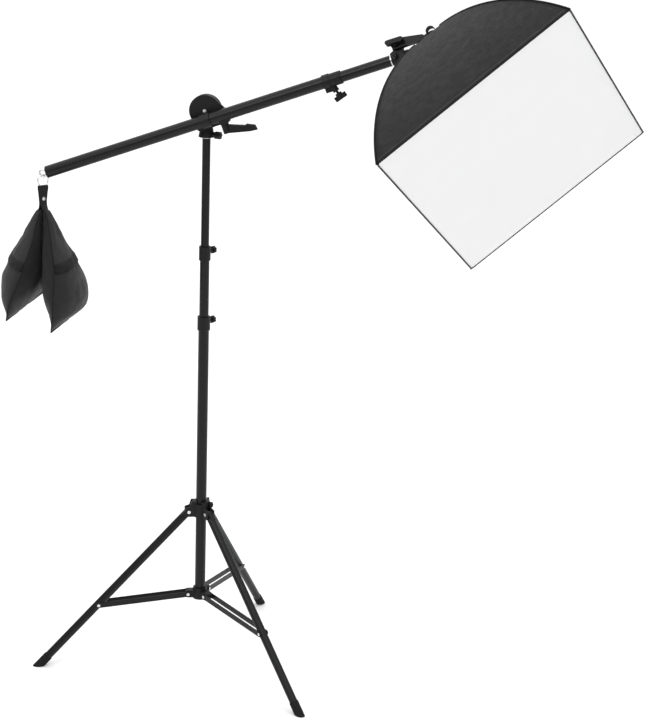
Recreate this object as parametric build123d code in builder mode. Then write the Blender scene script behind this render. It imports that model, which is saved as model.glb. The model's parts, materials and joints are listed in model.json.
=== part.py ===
from build123d import *

import os
from math import atan2, cos, degrees, hypot, radians, sin

# Boom-arm softbox light: tripod stand, tilting boom, 50 x 70 cm softbox and counterweight bag.
# Millimetres, +Z up, origin on the floor under the middle of the whole light.

# ---- driving dimensions -------------------------------------------------------------------
COLUMN_X = -260.2          # stand axis, from the origin
COLUMN_Y = 119.9
RUN = 0.05                 # radial clearance of a shaft or screw in its hole
GAP = 0.3                  # space between parts that move past each other

LOWER_TUBE_D = 25.0
MIDDLE_TUBE_D = 22.0
TOP_TUBE_D = 19.0
STUD_D = 16.0
TUBE_WALL = 1.2
TUBE_FOOT_Z = 166.0        # bottom of the lower tube
LOWER_COLLAR_Z = 856.0     # middles of the two height-lock collars
UPPER_COLLAR_Z = 1025.0
COLLAR_HEIGHT = 34.0
MIDDLE_TUBE_FOOT_Z = 392.0
TOP_TUBE_FOOT_Z = 612.0
TOP_TUBE_TOP_Z = 1297.0
STUD_TOP_Z = 1340.0

LEG_AZIMUTHS = {"left": 189.4, "front": 310.6, "back": 69.4}
PIVOT_RADIUS = 30.0        # leg and brace pivots, from the stand axis
LEG_PIVOT_Z = 388.5
LEG_SPLAY = 42.7           # leg to vertical, degrees
LEG_D = 19.0
LEG_WALL = 1.0
FOOT_D = 21.6
TONGUE_D = 16.0            # width of the leg's flattened end
BRACE_PIVOT_Z = 177.0
BRACE_SHARE = 0.60         # where the brace meets the leg, as a share of the leg
BRACE_THICK = 1.5
BRACE_HEIGHT = 13.0
BRACE_INSET = 9.9          # inner face of each brace strap, from the leg's middle plane

HINGE_Z = 1364.0           # boom tilt axis
HEAD_AZIMUTH = -9.4        # the boom's direction over the floor, degrees from +X
BOOM_RISE = 21.2           # the boom's slope, degrees
HEAD_DISC_D = 74.0
BOOM_DROP = 19.5           # boom axis below the tilt axis
BOOM_FRONT = 36.0          # boom axis in front of the stand axis
BOOM_TUBE_D = 28.0
BOOM_WALL = 1.4
BOOM_INNER_D = 25.0
BOOM_INNER_WALL = 1.2
BOOM_LEFT = -401.4         # positions along the boom, from the tilt axis
BOOM_OUTER_END = 297.0
BOOM_COLLAR_AT = 312.0
INNER_START = -250.0
INNER_END = 449.0

SOFTBOX_ROLL = -146.23     # how far the bracket is swivelled about the boom, degrees
SOFTBOX_TILT = 66.29       # lamp axis to boom, degrees
TILT_ALONG = 471.2         # softbox tilt axis, along the boom and off its axis
TILT_RISE = 26.0
LAMP_SIDE = 64.7           # lamp axis, from the softbox tilt axis
LAMP_BACK = 43.5           # neck plane, in front of the softbox tilt axis

FACE_WIDTH = 500.0
FACE_HEIGHT = 700.0
FACE_AT = 332.6            # softbox face, along the lamp axis
SHELL_DEPTH = 327.2
NECK_SHARE = 0.1395        # neck size as a share of the face
BULGE_SHARE = 0.6257       # shell size at the rod's middle, as a share of the face
BULGE_DEPTH = 190.8        # depth there, behind the face
FABRIC = 2.0
ROD_D = 4.0

EYE_RADIUS = 8.0           # boom-end eye and bag ring: wire centre radius, wire radius
EYE_WIRE = 2.2
RING_RADIUS = 13.5
RING_WIRE = 1.6
BAG_TURN = -12.4           # azimuth of the bag's thickness direction
BAG_TOP = 84.0             # top of the pouches, below the eye
LEFT_DROP = 324.0          # the pouches' lower seams, below the eye
RIGHT_DROP = 342.0


# ---- frames -------------------------------------------------------------------------------
def azimuth(angle):
    """Horizontal unit vector at an angle from +X."""
    return Vector(cos(radians(angle)), sin(radians(angle)), 0)


UP = Vector(0, 0, 1)
AXIS_FOOT = Vector(COLUMN_X, COLUMN_Y, 0)
stand = Plane(origin=AXIS_FOOT, x_dir=(1, 0, 0), z_dir=(0, 0, 1))

across = azimuth(HEAD_AZIMUTH)                 # level, along the boom's plan direction
front = azimuth(HEAD_AZIMUTH - 90)             # level, square to the boom
along = across * cos(radians(BOOM_RISE)) + UP * sin(radians(BOOM_RISE))
above = front.cross(along)                     # square to the boom, upwards
hinge_centre = AXIS_FOOT + UP * HINGE_Z
head = Plane(origin=hinge_centre, x_dir=across, z_dir=front)     # x across, y up, z front
pivot = Plane(origin=hinge_centre, x_dir=along, z_dir=front)     # x along boom, y above it
boom_origin = hinge_centre - above * BOOM_DROP + front * BOOM_FRONT
boom = Plane(origin=boom_origin, x_dir=above, z_dir=along)       # x above, y front, z along

roll = radians(SOFTBOX_ROLL)
face_long = -(front * cos(roll) + above * sin(roll))             # along the 70 cm side
away = face_long.cross(along)                                    # from the boom to the tilt axis
tilt = radians(SOFTBOX_TILT)
lamp_dir = along * cos(tilt) - away * sin(tilt)
face_short = face_long.cross(lamp_dir)                           # along the 50 cm side
tilt_centre = boom_origin + along * TILT_ALONG + away * TILT_RISE
swivel = Plane(origin=tilt_centre, x_dir=along, z_dir=face_long)     # x along boom, y away
arm = Plane(origin=tilt_centre, x_dir=face_short, z_dir=face_long)   # x to the lamp, y back
lamp_foot = tilt_centre + face_short * LAMP_SIDE + lamp_dir * LAMP_BACK
softbox = Plane(origin=lamp_foot, x_dir=face_short, z_dir=lamp_dir)  # x 50 cm, y 70 cm, z out

bag_side = azimuth(BAG_TURN)
bag_depth = azimuth(BAG_TURN + 90)
eye_along = BOOM_LEFT - EYE_RADIUS - EYE_WIRE - GAP
eye_centre = boom_origin + along * eye_along
bag = Plane(origin=eye_centre, x_dir=bag_side, z_dir=(0, 0, 1))      # x thickness, y width

LEG_LENGTH = LEG_PIVOT_Z / cos(radians(LEG_SPLAY))
brace_outer_r = PIVOT_RADIUS + BRACE_SHARE * LEG_LENGTH * sin(radians(LEG_SPLAY))
brace_outer_z = LEG_PIVOT_Z * (1 - BRACE_SHARE)
BRACE_LENGTH = hypot(brace_outer_r - PIVOT_RADIUS, brace_outer_z - BRACE_PIVOT_Z)

os.makedirs("parts", exist_ok=True)
pieces = {}


def save(piece, name):
    """Label a finished piece and write its STEP file."""
    piece.label = name
    export_step(piece, f"parts/{name}.step")
    pieces[name] = piece


# ---- shared shapes ------------------------------------------------------------------------
def tube(base, outer_d, length, bore_d=0.0):
    """Round tube or bar that starts on a plane and runs along its z."""
    with BuildPart() as piece:
        with BuildSketch(base):
            Circle(outer_d / 2)
            if bore_d:
                Circle(bore_d / 2, mode=Mode.SUBTRACT)
        extrude(amount=length)
    return piece.part


def lobed_knob(base, stem_d, stem_length, head_d, head_length, lobes=6):
    """Screw stem with a scalloped grip; base is the stem's tip and its z points outwards."""
    scallop = head_d * 0.16
    with BuildPart() as piece:
        with BuildSketch(base):
            Circle(stem_d / 2)
        extrude(amount=stem_length)
        with BuildSketch(base.offset(stem_length)):
            Circle(head_d / 2)
            with PolarLocations(head_d / 2 + scallop * 0.45, lobes):
                Circle(scallop, mode=Mode.SUBTRACT)
        extrude(amount=head_length)
        with BuildSketch(base.offset(stem_length + head_length)):
            Circle(head_d * 0.22)
        extrude(amount=1.2)
    return piece.part


def wing_knob(base, stem_d, stem_length, span, height, thick):
    """Screw stem with a hub and two flat wings; base is the stem's tip."""
    with BuildPart() as piece:
        with BuildSketch(base):
            Circle(stem_d / 2)
        extrude(amount=stem_length)
        with BuildSketch(base.offset(stem_length)):
            Circle(thick * 0.85)
        extrude(amount=height * 0.7)
        with BuildSketch(base.offset(stem_length + height * 0.3)):
            SlotOverall(span, thick)
        extrude(amount=height * 0.7)
    return piece.part


# ---- stand column -------------------------------------------------------------------------
def column_tube(name, outer_d, foot_z, top_z):
    """One section of the telescoping column."""
    piece = tube(stand.offset(foot_z), outer_d, top_z - foot_z, outer_d - 2 * TUBE_WALL)
    save(piece, name)


COLLAR_SPLIT = -6.0        # top of the outer section inside a collar, from the collar's middle
column_tube("lower_tube", LOWER_TUBE_D, TUBE_FOOT_Z, LOWER_COLLAR_Z + COLLAR_SPLIT)
column_tube("middle_tube", MIDDLE_TUBE_D, MIDDLE_TUBE_FOOT_Z, UPPER_COLLAR_Z + COLLAR_SPLIT)
column_tube("top_tube", TOP_TUBE_D, TOP_TUBE_FOOT_Z, TOP_TUBE_TOP_Z)

COLLAR_WALL = 2.6
COLLAR_CHAMFER = 1.8
COLLAR_BOSS_D = 11.0
COLLAR_BOSS_REACH = 9.0    # how far the knob's boss stands out of the collar
KNOB_STEM_D = 5.0
KNOB_SET = 4.0             # knob axis, from the collar's middle
COLLAR_KNOB_TURN = 50.0    # azimuth of the collars' knobs


def height_collar(name, middle_z, outer_d, inner_d):
    """Clamp collar on the top end of one section, gripping the next section in."""
    low = stand.offset(middle_z - COLLAR_HEIGHT / 2)
    body_r = outer_d / 2 + COLLAR_WALL
    knob_axis = collar_knob_plane(middle_z)
    with BuildPart() as collar:
        with BuildSketch(low):
            Circle(body_r)
        extrude(amount=COLLAR_HEIGHT)
        chamfer(collar.edges().group_by(Axis.Z)[0], COLLAR_CHAMFER)
        with BuildSketch(knob_axis):
            Circle(COLLAR_BOSS_D / 2)
        extrude(amount=body_r + COLLAR_BOSS_REACH)
        with BuildSketch(low):
            Circle(outer_d / 2)
        extrude(amount=COLLAR_HEIGHT / 2 + COLLAR_SPLIT, mode=Mode.SUBTRACT)
        with BuildSketch(low):
            Circle(inner_d / 2 + RUN)
        extrude(amount=COLLAR_HEIGHT, mode=Mode.SUBTRACT)
        with BuildSketch(knob_axis):
            Circle(KNOB_STEM_D / 2 + RUN)
        extrude(amount=body_r + COLLAR_BOSS_REACH, mode=Mode.SUBTRACT)
    save(collar.part, name)


def collar_knob_plane(middle_z):
    """Plane on the stand axis whose z points along a collar's knob."""
    origin = AXIS_FOOT + UP * (middle_z + KNOB_SET)
    return Plane(origin=origin, x_dir=azimuth(COLLAR_KNOB_TURN + 90), z_dir=azimuth(COLLAR_KNOB_TURN))


def collar_knob(name, middle_z, outer_d, inner_d):
    """Knob whose stem ends against the inner section."""
    start = collar_knob_plane(middle_z).offset(inner_d / 2 + GAP)
    boss_end = outer_d / 2 + COLLAR_WALL + COLLAR_BOSS_REACH
    stem = boss_end + 0.6 - inner_d / 2 - GAP
    save(lobed_knob(start, KNOB_STEM_D, stem, 17.0, 9.0), name)


height_collar("lower_collar", LOWER_COLLAR_Z, LOWER_TUBE_D, MIDDLE_TUBE_D)
height_collar("upper_collar", UPPER_COLLAR_Z, MIDDLE_TUBE_D, TOP_TUBE_D)
collar_knob("lower_collar_knob", LOWER_COLLAR_Z, LOWER_TUBE_D, MIDDLE_TUBE_D)
collar_knob("upper_collar_knob", UPPER_COLLAR_Z, MIDDLE_TUBE_D, TOP_TUBE_D)

STUD_PLUG = 30.0           # length of the stud inside the top tube
STUD_GROOVE_D = 13.0
with BuildPart() as top_stud:
    with BuildSketch(stand.offset(TOP_TUBE_TOP_Z - STUD_PLUG)):
        Circle(TOP_TUBE_D / 2 - TUBE_WALL)
    extrude(amount=STUD_PLUG)
    with BuildSketch(stand.offset(TOP_TUBE_TOP_Z)):
        Circle(STUD_D / 2)
    extrude(amount=STUD_TOP_Z - TOP_TUBE_TOP_Z)
    with BuildSketch(stand.offset(HINGE_Z - 62.0)):
        Circle(STUD_D / 2)
        Circle(STUD_GROOVE_D / 2, mode=Mode.SUBTRACT)
    extrude(amount=10.0, mode=Mode.SUBTRACT)
save(top_stud.part, "top_stud")


# ---- tripod -------------------------------------------------------------------------------
CHEEK_INNER = LEG_D / 2 - 3.2      # clevis cheek faces, from the leg's middle plane
CHEEK_OUTER = CHEEK_INNER + 4.0
TONGUE_HALF = CHEEK_INNER - GAP    # half thickness of the leg's flattened end
LEG_PIN_D = 5.0
HUB_BODY_D = 38.0
HUB_LOW = -13.0                    # hub body and cheeks, from the leg pivot's height
HUB_HIGH = 20.0
CHEEK_HIGH = 27.0
HUB_KNOB_SET = 14.0                # hub knob's axis, from the leg pivot's height
HUB_BOSS_R = 5.5
HUB_BOSS_END = 21.0


def radial(leg_azimuth, height, reach=0.0):
    """Plane at a leg's azimuth: x outwards, y up, z square to the leg's plane."""
    out = azimuth(leg_azimuth)
    origin = AXIS_FOOT + UP * height + out * reach
    return Plane(origin=origin, x_dir=out, z_dir=out.cross(UP))


with BuildPart() as leg_hub:
    with BuildSketch(stand.offset(LEG_PIVOT_Z + HUB_LOW)):
        Circle(HUB_BODY_D / 2)
    extrude(amount=HUB_HIGH - HUB_LOW)
    for leg_azimuth in LEG_AZIMUTHS.values():
        with BuildSketch(radial(leg_azimuth, LEG_PIVOT_Z)):
            with BuildLine():
                Polyline(
                    (10, HUB_LOW + 1),
                    (PIVOT_RADIUS + 5, HUB_LOW + 1),
                    (PIVOT_RADIUS + 9, HUB_LOW + 6),
                    (PIVOT_RADIUS + 9, 9),
                    (PIVOT_RADIUS - 2, 13),
                    (PIVOT_RADIUS - 6, CHEEK_HIGH),
                    (10, CHEEK_HIGH),
                    close=True,
                )
            make_face()
        extrude(amount=CHEEK_OUTER, both=True)
        with BuildSketch(radial(leg_azimuth, LEG_PIVOT_Z)):
            with Locations((PIVOT_RADIUS + 6, 0)):
                Rectangle(30, 60)
        extrude(amount=CHEEK_INNER, both=True, mode=Mode.SUBTRACT)
        with BuildSketch(radial(leg_azimuth, LEG_PIVOT_Z, PIVOT_RADIUS)):
            Circle(LEG_PIN_D / 2)
        extrude(amount=CHEEK_OUTER + 1, both=True, mode=Mode.SUBTRACT)
    with BuildSketch(stand.offset(LEG_PIVOT_Z + HUB_LOW)):
        Circle(LOWER_TUBE_D / 2 + RUN)
    extrude(amount=CHEEK_HIGH - HUB_LOW, mode=Mode.SUBTRACT)
    hub_knob_azimuth = LEG_AZIMUTHS["back"] - 60
    hub_knob_plane = Plane(
        origin=AXIS_FOOT + UP * (LEG_PIVOT_Z + HUB_KNOB_SET),
        x_dir=UP,
        z_dir=azimuth(hub_knob_azimuth),
    )
    with BuildSketch(hub_knob_plane.offset(LOWER_TUBE_D / 2 + 1)):
        Circle(HUB_BOSS_R)
    extrude(amount=HUB_BOSS_END - LOWER_TUBE_D / 2 - 1)
    with BuildSketch(hub_knob_plane):
        Circle(KNOB_STEM_D / 2 + RUN)
    extrude(amount=HUB_BOSS_END, mode=Mode.SUBTRACT)
save(leg_hub.part, "leg_hub")
save(
    lobed_knob(
        hub_knob_plane.offset(LOWER_TUBE_D / 2 + GAP),
        KNOB_STEM_D,
        HUB_BOSS_END + 0.6 - LOWER_TUBE_D / 2 - GAP,
        13.0,
        6.0,
    ),
    "hub_knob",
)

PIN_HEAD = 1.4
with BuildPart() as leg_pivot_pins:
    for leg_azimuth in LEG_AZIMUTHS.values():
        pin_plane = radial(leg_azimuth, LEG_PIVOT_Z, PIVOT_RADIUS)
        with BuildSketch(pin_plane):
            Circle(LEG_PIN_D / 2)
        extrude(amount=CHEEK_OUTER + PIN_HEAD, both=True)
        for side in (1, -1):
            with BuildSketch(pin_plane.offset(side * CHEEK_OUTER)):
                Circle(4.0)
            extrude(amount=side * PIN_HEAD)
save(leg_pivot_pins.part, "leg_pivot_pins")

LUG_HALF = BRACE_INSET - GAP
LUG_HEIGHT = 18.0
BRACE_PIN_D = 4.0
with BuildPart() as base_hub:
    with BuildSketch(stand.offset(BRACE_PIVOT_Z - 13)):
        Circle(17.0)
    extrude(amount=28)
    for leg_azimuth in LEG_AZIMUTHS.values():
        with BuildSketch(radial(leg_azimuth, BRACE_PIVOT_Z)):
            with Locations((PIVOT_RADIUS / 2 + 4, 0)):
                SlotOverall(PIVOT_RADIUS + 8, LUG_HEIGHT)
        extrude(amount=LUG_HALF, both=True)
        with BuildSketch(radial(leg_azimuth, BRACE_PIVOT_Z, PIVOT_RADIUS)):
            Circle(BRACE_PIN_D / 2)
        extrude(amount=LUG_HALF + 1, both=True, mode=Mode.SUBTRACT)
    with BuildSketch(stand.offset(TUBE_FOOT_Z)):
        Circle(LOWER_TUBE_D / 2)
    extrude(amount=40, mode=Mode.SUBTRACT)
save(base_hub.part, "base_hub")

BRACE_FACE = BRACE_INSET + BRACE_THICK
with BuildPart() as brace_pins:
    for leg_azimuth in LEG_AZIMUTHS.values():
        pin_plane = radial(leg_azimuth, BRACE_PIVOT_Z, PIVOT_RADIUS)
        with BuildSketch(pin_plane):
            Circle(BRACE_PIN_D / 2)
        extrude(amount=BRACE_FACE + GAP + PIN_HEAD, both=True)
        for side in (1, -1):
            with BuildSketch(pin_plane.offset(side * (BRACE_FACE + GAP))):
                Circle(3.6)
            extrude(amount=side * PIN_HEAD)
save(brace_pins.part, "brace_pins")

FOOT_LENGTH = 34.0
TUBE_START = 20.0          # where the round leg begins, below its pivot
TUBE_END_MARGIN = 18.0
for leg_name, leg_azimuth in LEG_AZIMUTHS.items():
    out = azimuth(leg_azimuth)
    down_leg = out * sin(radians(LEG_SPLAY)) - UP * cos(radians(LEG_SPLAY))
    side_dir = out.cross(UP)
    leg_pivot = AXIS_FOOT + out * PIVOT_RADIUS + UP * LEG_PIVOT_Z
    leg_axis = Plane(origin=leg_pivot, x_dir=side_dir, z_dir=down_leg)
    leg_flat = Plane(origin=leg_pivot, x_dir=down_leg, z_dir=side_dir)
    leg_end = LEG_LENGTH - TUBE_END_MARGIN
    with BuildPart() as leg:
        with BuildSketch(leg_axis.offset(TUBE_START)):
            Circle(LEG_D / 2)
        extrude(amount=leg_end - TUBE_START)
        with BuildSketch(leg_axis.offset(TUBE_START + 12)):
            Circle(LEG_D / 2 - LEG_WALL)
        extrude(amount=leg_end - TUBE_START - 12, mode=Mode.SUBTRACT)
        with BuildSketch(leg_flat):
            with Locations((9, 0)):
                SlotOverall(18 + TONGUE_D, TONGUE_D)
        extrude(amount=TONGUE_HALF, both=True)
        with BuildSketch(leg_flat):
            Circle(LEG_PIN_D / 2 + RUN)
        extrude(amount=TONGUE_HALF + 1, both=True, mode=Mode.SUBTRACT)
    save(leg.part, f"leg_{leg_name}")
    with BuildPart() as foot:
        with BuildSketch(leg_axis.offset(LEG_LENGTH - FOOT_LENGTH)):
            Circle(FOOT_D / 2)
        extrude(amount=FOOT_LENGTH + FOOT_D)
        with BuildSketch(leg_axis.offset(LEG_LENGTH - FOOT_LENGTH)):
            Circle(LEG_D / 2)
        extrude(amount=FOOT_LENGTH - TUBE_END_MARGIN, mode=Mode.SUBTRACT)
        split(bisect_by=Plane.XY, keep=Keep.TOP)
    save(foot.part, f"foot_{leg_name}")

    brace_in = AXIS_FOOT + out * PIVOT_RADIUS + UP * BRACE_PIVOT_Z
    brace_dir = (out * (brace_outer_r - PIVOT_RADIUS) + UP * (brace_outer_z - BRACE_PIVOT_Z))
    brace_flat = Plane(origin=brace_in, x_dir=brace_dir, z_dir=side_dir)
    with BuildPart() as brace:
        for side in (1, -1):
            with BuildSketch(brace_flat.offset(side * BRACE_INSET)):
                with Locations((BRACE_LENGTH / 2, 0)):
                    SlotOverall(BRACE_LENGTH + BRACE_HEIGHT, BRACE_HEIGHT)
                Circle(BRACE_PIN_D / 2 + RUN, mode=Mode.SUBTRACT)
                with Locations((BRACE_LENGTH, 0)):
                    Circle(BRACE_PIN_D / 2, mode=Mode.SUBTRACT)
            extrude(amount=side * BRACE_THICK)
    save(brace.part, f"brace_{leg_name}")
    with BuildPart() as rivets:
        for side in (1, -1):
            with BuildSketch(brace_flat.offset(side * BRACE_INSET)):
                with Locations((BRACE_LENGTH, 0)):
                    Circle(BRACE_PIN_D / 2)
            extrude(amount=side * BRACE_THICK)
            with BuildSketch(brace_flat.offset(side * BRACE_FACE)):
                with Locations((BRACE_LENGTH, 0)):
                    Circle(3.6)
            extrude(amount=side * PIN_HEAD)
    save(rivets.part, f"rivets_{leg_name}")


# ---- pivot head on the stand --------------------------------------------------------------
REAR_DISC = (-2.0, 13.0)           # rear disc's faces, along the tilt axis
PLATE_BACK = 14.3                  # back of the boom clamp's plate
PLATE_FRONT = 21.0
SADDLE_FRONT = 34.5
BOLT_D = 6.0
SOCKET_LOW = -63.0                 # bottom of the stud socket, from the tilt axis
SOCKET_HIGH = -24.0
socket_base = stand.offset(HINGE_Z + SOCKET_LOW)
SCREW_TURN = HEAD_AZIMUTH - 15     # azimuth of the stud lock screw
screw_plane = Plane(
    origin=AXIS_FOOT + UP * (HINGE_Z - 57),
    x_dir=(0, 0, 1),
    z_dir=azimuth(SCREW_TURN),
)
SCREW_BOSS_END = 22.0
with BuildPart() as head_socket:
    with BuildSketch(socket_base):
        Circle(18.5)
    with BuildSketch(socket_base.offset(22)):
        Circle(14.5)
    loft()
    with BuildSketch(socket_base.offset(22)):
        Circle(13.0)
    extrude(amount=SOCKET_HIGH + 6 - SOCKET_LOW - 22)
    with BuildSketch(head.offset(REAR_DISC[0])):
        Circle(HEAD_DISC_D / 2 - 1)
    extrude(amount=REAR_DISC[1] - REAR_DISC[0])
    with BuildSketch(screw_plane.offset(9)):
        Circle(6.5)
    extrude(amount=SCREW_BOSS_END - 9)
    with BuildSketch(head.offset(REAR_DISC[0] - 30)):
        Circle(BOLT_D / 2 + RUN)
    extrude(amount=60, mode=Mode.SUBTRACT)
    with BuildSketch(socket_base):
        Circle(STUD_D / 2 + RUN)
    extrude(amount=STUD_TOP_Z + GAP - HINGE_Z - SOCKET_LOW, mode=Mode.SUBTRACT)
    with BuildSketch(screw_plane):
        Circle(KNOB_STEM_D / 2 + RUN)
    extrude(amount=SCREW_BOSS_END, mode=Mode.SUBTRACT)
save(head_socket.part, "head_socket")
save(
    lobed_knob(
        screw_plane.offset(STUD_D / 2 + 2 * GAP),
        KNOB_STEM_D,
        SCREW_BOSS_END + 0.6 - STUD_D / 2 - 2 * GAP,
        17.0,
        14.0,
    ),
    "head_thumbscrew",
)

washer = tube(head.offset(REAR_DISC[1]), 44.0, 1.0, BOLT_D + 2)
save(washer, "friction_washer")

SADDLE_TOP = -6.0                  # saddle block's and lever shelf's edges, from the tilt axis
SADDLE_LOW = -39.0
SHELF_TOP = -BOOM_DROP - 8.0
SHELF_LOW = -BOOM_DROP - BOOM_TUBE_D / 2 - 5.5
CLAMP_LEVER_AT = 38.0              # lever screw, along the boom
with BuildPart() as boom_clamp:
    with BuildSketch(pivot.offset(PLATE_BACK)):
        Circle(HEAD_DISC_D / 2)
        with Locations((44, -17)):
            Circle(6)
        make_hull()
    extrude(amount=PLATE_FRONT - PLATE_BACK)
    with BuildSketch(pivot.offset(PLATE_FRONT)):
        with Locations((12, (SADDLE_TOP + SADDLE_LOW) / 2)):
            RectangleRounded(80, SADDLE_TOP - SADDLE_LOW, 6)
    extrude(amount=SADDLE_FRONT - PLATE_FRONT)
    with BuildSketch(pivot.offset(PLATE_FRONT)):
        with Locations((CLAMP_LEVER_AT + 2, (SHELF_LOW + SHELF_TOP) / 2)):
            RectangleRounded(22, SHELF_TOP - SHELF_LOW, 3)
    extrude(amount=BOOM_FRONT + 10 - PLATE_FRONT)
    with BuildSketch(boom.offset(-80)):
        Circle(BOOM_TUBE_D / 2 + RUN)
    extrude(amount=160, mode=Mode.SUBTRACT)
    with BuildSketch(pivot.offset(PLATE_BACK)):
        Circle(BOLT_D / 2)
    extrude(amount=30, mode=Mode.SUBTRACT)
    lever_plane = Plane(
        origin=boom_origin + along * CLAMP_LEVER_AT,
        x_dir=along,
        z_dir=-above,
    )
    with BuildSketch(lever_plane):
        Circle(8.0 / 2 + RUN)
    extrude(amount=60, mode=Mode.SUBTRACT)
save(boom_clamp.part, "boom_clamp")

BAND_WALL = 2.6
BAND_WIDTH = 22.0
band_front = BOOM_FRONT - SADDLE_FRONT
with BuildPart() as clamp_band:
    with BuildSketch(boom.offset(-BAND_WIDTH / 2)):
        Circle(BOOM_TUBE_D / 2 + RUN + BAND_WALL)
        with Locations((-2, (BAND_WALL + 2 * GAP) / 2 - band_front)):
            Rectangle(35, BAND_WALL)
        with Locations((0, -20 - band_front + GAP)):
            Rectangle(60, 40, mode=Mode.SUBTRACT)
        Circle(BOOM_TUBE_D / 2 + RUN, mode=Mode.SUBTRACT)
    extrude(amount=BAND_WIDTH)
save(clamp_band.part, "clamp_band")

with BuildPart() as pivot_bolt:
    with BuildSketch(pivot.offset(-34)):
        Circle(BOLT_D / 2)
    extrude(amount=34 + PLATE_FRONT)
    with BuildSketch(pivot.offset(PLATE_FRONT)):
        Circle(4.5)
    extrude(amount=1.5)
    with BuildSketch(pivot.offset(PLATE_FRONT + 1.5)):
        RegularPolygon(3.8, 6)
    extrude(amount=3.0)
save(pivot_bolt.part, "pivot_bolt")

with BuildPart() as tilt_lock_knob:
    with BuildSketch(head.offset(REAR_DISC[0] - 1)):
        Circle(13.0)
    extrude(amount=-12)
    with BuildSketch(head.offset(REAR_DISC[0] - 13)):
        Circle(22.0)
        with PolarLocations(24.0, 6):
            Circle(6.0, mode=Mode.SUBTRACT)
    extrude(amount=-14)
    with BuildSketch(head.offset(-60)):
        Circle(BOLT_D / 2 + RUN)
    extrude(amount=60, mode=Mode.SUBTRACT)
save(tilt_lock_knob.part, "tilt_lock_knob")

LEVER_HUB_AT = 19.9                # hub's inner end, below the boom axis
LEVER_REACH = 68.0
arm_start = lever_plane.offset(LEVER_HUB_AT)
lever_side = Plane(
    origin=boom_origin + along * CLAMP_LEVER_AT - above * (LEVER_HUB_AT + 9),
    x_dir=along,
    z_dir=front,
)
with BuildPart() as clamp_lever:
    with BuildSketch(lever_plane.offset(BOOM_TUBE_D / 2 + GAP)):
        Circle(8.0 / 2)
    extrude(amount=LEVER_HUB_AT - BOOM_TUBE_D / 2 + 2)
    with BuildSketch(arm_start):
        Circle(9.0)
    extrude(amount=22)
    with BuildSketch(lever_side):
        with BuildLine():
            Polyline(
                (0, 8),
                (LEVER_REACH - 24, -8),
                (LEVER_REACH - 20, -6),
                (LEVER_REACH - 2, -14),
                (LEVER_REACH, -26),
                (LEVER_REACH - 18, -24),
                (0, -13),
                close=True,
            )
        make_face()
    extrude(amount=5.0, both=True)
save(clamp_lever.part, "clamp_lever")


# ---- boom ---------------------------------------------------------------------------------
boom_bore = BOOM_TUBE_D - 2 * BOOM_WALL
inner_bore = BOOM_INNER_D - 2 * BOOM_INNER_WALL
PLUG_FLANGE = 1.5
PLUG_DEPTH = 22.0
EYE_STEM_D = 5.2
tube_left = BOOM_LEFT + PLUG_FLANGE
boom_tube = tube(boom.offset(tube_left), BOOM_TUBE_D, BOOM_OUTER_END - tube_left, boom_bore)
save(boom_tube, "boom_tube")
inner_tube = tube(boom.offset(INNER_START), BOOM_INNER_D, INNER_END - INNER_START, inner_bore)
save(inner_tube, "boom_inner_tube")

with BuildPart() as end_plug:
    with BuildSketch(boom.offset(BOOM_LEFT)):
        Circle(boom_bore / 2)
    extrude(amount=PLUG_DEPTH)
    with BuildSketch(boom.offset(BOOM_LEFT)):
        Circle(BOOM_TUBE_D / 2)
    extrude(amount=PLUG_FLANGE)
    with BuildSketch(boom.offset(BOOM_LEFT)):
        Circle(EYE_STEM_D / 2)
    extrude(amount=PLUG_DEPTH, mode=Mode.SUBTRACT)
save(end_plug.part, "boom_end_plug")

eye_plane = Plane(origin=eye_centre, x_dir=along, z_dir=front)
with BuildPart() as boom_eye:
    with BuildSketch(boom.offset(eye_along + EYE_RADIUS)):
        Circle(EYE_STEM_D / 2)
    extrude(amount=PLUG_DEPTH)
    with BuildSketch(Plane(origin=eye_centre, x_dir=along, z_dir=above)):
        with Locations((EYE_RADIUS, 0)):
            Circle(EYE_WIRE)
    revolve(axis=Axis(eye_centre, front))
save(boom_eye.part, "boom_eye")

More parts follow.
